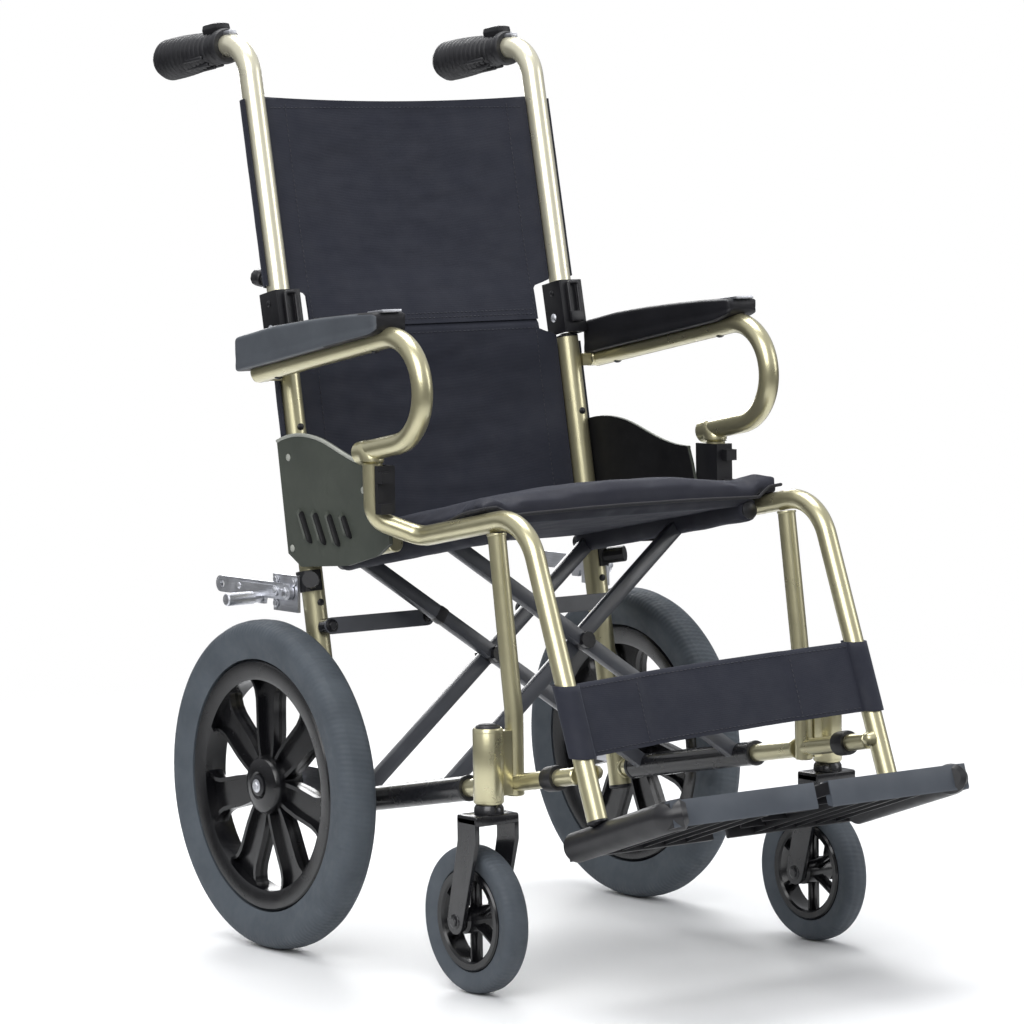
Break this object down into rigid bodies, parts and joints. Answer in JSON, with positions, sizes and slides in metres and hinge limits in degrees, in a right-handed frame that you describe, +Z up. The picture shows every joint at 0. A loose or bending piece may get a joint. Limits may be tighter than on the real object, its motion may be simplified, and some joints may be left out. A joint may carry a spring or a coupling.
{
  "type": "transport wheelchair",
  "caption": "Folding attendant-propelled wheelchair with tubular frame, fabric seat and back, flip-up armrests and footplates, small rear wheels and swivel casters.",
  "frame": {"origin": "on the floor, below the middle of the chair", "axes": "+Z up, -Y the way the chair faces, +X to the sitter's left"},
  "size_m": [0.536, 0.9067, 0.9921],
  "materials": {
    "champagne": "champagne-gold metallic lacquer, satin gloss",
    "black_paint": "black powder coat, semi-gloss",
    "steel": "zinc-plated steel",
    "rim_plastic": "black moulded plastic",
    "black_plastic": "black moulded plastic with a fine grain",
    "side_guard": "dark olive-grey moulded plastic",
    "tyre": "blue-grey solid rubber with fine cross ribs",
    "grip": "black ribbed rubber",
    "arm_pad": "dark grey skinned foam",
    "nylon": "charcoal woven nylon with hemmed edges"
  },
  "bodies": {
    "side_right": {"rear_post_right": "champagne", "side_tube_right": "champagne", "rear_rail_right": "champagne", "lower_rail_right": "champagne", "front_leg_right": "champagne", "caster_housing_right": "champagne", "side_guard_right": "side_guard", "arm_latch_right": "black_plastic", "arm_bracket_right": "champagne", "back_hinge_right": "black_plastic", "post_clamp_right": "black_plastic", "axle_bracket_right": "steel", "lock_bracket_right": "steel", "back_lower": "nylon", "calf_strap": "nylon"},
    "side_left": {"rear_post_left": "champagne", "side_tube_left": "champagne", "rear_rail_left": "champagne", "lower_rail_left": "champagne", "front_leg_left": "champagne", "caster_housing_left": "champagne", "side_guard_left": "side_guard", "arm_latch_left": "black_plastic", "arm_bracket_left": "champagne", "back_hinge_left": "black_plastic", "post_clamp_left": "black_plastic", "axle_bracket_left": "steel", "lock_bracket_left": "steel"},
    "brace_right": {"cross_brace_right": "black_paint", "brace_bolt_front": "steel", "brace_bolt_rear": "steel", "seat": "nylon"},
    "brace_left": {"cross_brace_left": "black_paint"},
    "cane_right": {"push_cane_right": "champagne", "grip_right": "grip", "back_upper": "nylon"},
    "cane_left": {"push_cane_left": "champagne", "grip_left": "grip"},
    "armrest_right": {"arm_tube_right": "champagne", "arm_pad_right": "arm_pad"},
    "rear_wheel_right": {"rear_tyre_right": "tyre", "rear_rim_right": "rim_plastic"},
    "fork_right": {"caster_fork_right": "black_paint"},
    "front_wheel_right": {"caster_tyre_right": "tyre", "caster_rim_right": "rim_plastic"},
    "lock_right": {"lock_lever_right": "steel"},
    "latch_right": {"back_latch_right": "black_plastic"},
    "plate_right": {"footplate_right": "black_plastic"},
    "link_right": {"stay_link_right": "black_paint"},
    "armrest_left": {"arm_tube_left": "champagne", "arm_pad_left": "arm_pad"},
    "rear_wheel_left": {"rear_tyre_left": "tyre", "rear_rim_left": "rim_plastic"},
    "fork_left": {"caster_fork_left": "black_paint"},
    "front_wheel_left": {"caster_tyre_left": "tyre", "caster_rim_left": "rim_plastic"},
    "lock_left": {"lock_lever_left": "steel"},
    "latch_left": {"back_latch_left": "black_plastic"},
    "plate_left": {"footplate_left": "black_plastic"},
    "link_left": {"stay_link_left": "black_paint"}
  },
  "joints": [
    {"name": "frame_fold", "type": "hinge", "parent": "side_right", "child": "brace_right", "pos_m": [-0.191, 0, 0.18], "axis": [0, -0.9848, 0.1736], "range_deg": [0, 30], "deforming": ["seat", "back_upper", "back_lower", "calf_strap"]},
    {"name": "brace_cross", "type": "hinge", "parent": "brace_right", "child": "brace_left", "pos_m": [0, 0.02438, 0.31826], "axis": [0, -0.9848, 0.1736], "range_deg": [-60, 0]},
    {"name": "left_fold", "type": "hinge", "parent": "brace_left", "child": "side_left", "pos_m": [0.191, 0, 0.18], "axis": [0, -0.9848, 0.1736], "range_deg": [0, 30]},
    {"name": "back_fold_right", "type": "hinge", "parent": "side_right", "child": "cane_right", "pos_m": [-0.191, 0.218, 0.665], "axis": [-1, 0, 0], "range_deg": [0, 95]},
    {"name": "arm_flip_right", "type": "hinge", "parent": "side_right", "child": "armrest_right", "pos_m": [-0.229, 0.21, 0.61947], "axis": [-1, 0, 0], "range_deg": [0, 100]},
    {"name": "rear_wheel_spin_right", "type": "hinge", "parent": "side_right", "child": "rear_wheel_right", "pos_m": [-0.246, 0.1725, 0.178], "axis": [1, 0, 0], "continuous": true},
    {"name": "caster_swivel_right", "type": "hinge", "parent": "side_right", "child": "fork_right", "pos_m": [-0.224, -0.196, 0.2], "axis": [0, 0, 1], "continuous": true},
    {"name": "caster_spin_right", "type": "hinge", "parent": "fork_right", "child": "front_wheel_right", "pos_m": [-0.224, -0.171, 0.076], "axis": [1, 0, 0], "continuous": true},
    {"name": "wheel_lock_right", "type": "hinge", "parent": "side_right", "child": "lock_right", "pos_m": [-0.2145, 0.182, 0.383], "axis": [-1, 0, 0], "range_deg": [0, 20]},
    {"name": "back_latch_right", "type": "hinge", "parent": "side_right", "child": "latch_right", "pos_m": [-0.191, 0.1949, 0.6615], "axis": [1, 0, 0], "range_deg": [0, 12], "stiffness_Nm_per_rad": 0.3, "springref_deg": -5.73},
    {"name": "footplate_flip_right", "type": "hinge", "parent": "side_right", "child": "plate_right", "pos_m": [-0.165, -0.36752, 0.18464], "axis": [0, -0.9511, 0.309], "range_deg": [0, 90]},
    {"name": "stay_link_right", "type": "hinge", "parent": "side_right", "child": "link_right", "pos_m": [-0.191, 0.1362, 0.3479], "axis": [0, -0.9848, 0.1736], "range_deg": [0, 58.5]},
    {"name": "back_fold_left", "type": "hinge", "parent": "side_left", "child": "cane_left", "pos_m": [0.191, 0.218, 0.665], "axis": [-1, 0, 0], "range_deg": [0, 95]},
    {"name": "arm_flip_left", "type": "hinge", "parent": "side_left", "child": "armrest_left", "pos_m": [0.229, 0.21, 0.61947], "axis": [-1, 0, 0], "range_deg": [0, 100]},
    {"name": "rear_wheel_spin_left", "type": "hinge", "parent": "side_left", "child": "rear_wheel_left", "pos_m": [0.246, 0.1725, 0.178], "axis": [1, 0, 0], "continuous": true},
    {"name": "caster_swivel_left", "type": "hinge", "parent": "side_left", "child": "fork_left", "pos_m": [0.224, -0.196, 0.2], "axis": [0, 0, 1], "continuous": true},
    {"name": "caster_spin_left", "type": "hinge", "parent": "fork_left", "child": "front_wheel_left", "pos_m": [0.224, -0.171, 0.076], "axis": [1, 0, 0], "continuous": true},
    {"name": "wheel_lock_left", "type": "hinge", "parent": "side_left", "child": "lock_left", "pos_m": [0.2145, 0.182, 0.383], "axis": [-1, 0, 0], "range_deg": [0, 20]},
    {"name": "back_latch_left", "type": "hinge", "parent": "side_left", "child": "latch_left", "pos_m": [0.191, 0.1949, 0.6615], "axis": [1, 0, 0], "range_deg": [0, 12], "stiffness_Nm_per_rad": 0.3, "springref_deg": -5.73},
    {"name": "footplate_flip_left", "type": "hinge", "parent": "side_left", "child": "plate_left", "pos_m": [0.165, -0.36752, 0.18464], "axis": [0, 0.9511, -0.309], "range_deg": [0, 90]},
    {"name": "stay_link_left", "type": "hinge", "parent": "side_left", "child": "link_left", "pos_m": [0.191, 0.1362, 0.3479], "axis": [0, 0.9848, -0.1736], "range_deg": [0, 58.5]}
  ],
  "couplings": [
    {"joint": "brace_cross", "follows": "frame_fold", "ratio": -2},
    {"joint": "left_fold", "follows": "frame_fold", "ratio": 1},
    {"joint": "back_fold_left", "follows": "back_fold_right", "ratio": 1},
    {"joint": "footplate_flip_right", "follows": "frame_fold", "ratio": 3},
    {"joint": "stay_link_right", "follows": "frame_fold", "ratio": 1.95},
    {"joint": "footplate_flip_left", "follows": "frame_fold", "ratio": 3},
    {"joint": "stay_link_left", "follows": "frame_fold", "ratio": 1.95}
  ]
}
